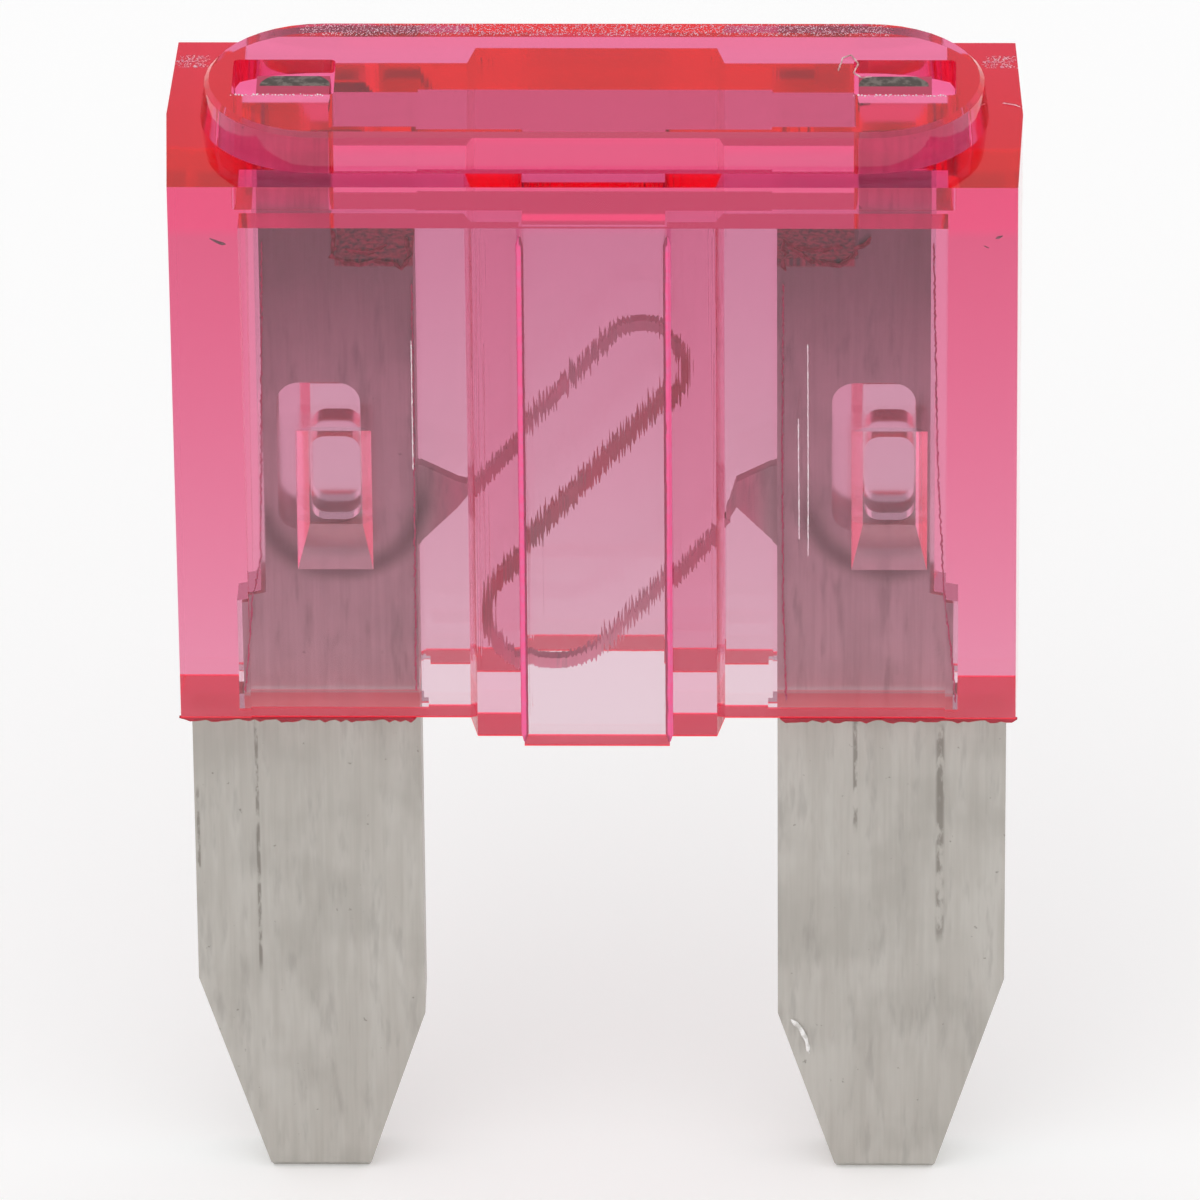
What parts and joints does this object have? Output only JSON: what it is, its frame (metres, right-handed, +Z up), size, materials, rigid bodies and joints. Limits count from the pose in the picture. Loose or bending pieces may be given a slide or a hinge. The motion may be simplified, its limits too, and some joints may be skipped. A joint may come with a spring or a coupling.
{
  "type": "automotive blade fuse",
  "caption": "Small plug-in blade fuse: a transparent pink wedge-shaped housing with a rounded button on top, over two flat zinc blades joined by an S-shaped link.",
  "frame": {"origin": "centre of the seating face, where the blades leave the housing", "axes": "+Z up towards the button that a finger presses, X across the two blades, -Y towards the viewer of the picture"},
  "size_m": [0.011, 0.0038, 0.0163],
  "materials": {
    "pink_plastic": "clear moulded plastic, lightly scuffed",
    "zinc": "matte rolled zinc with fine streaks along the blades"
  },
  "bodies": {
    "root": {"housing": "pink_plastic", "fuse_element": "zinc"}
  },
  "joints": []
}
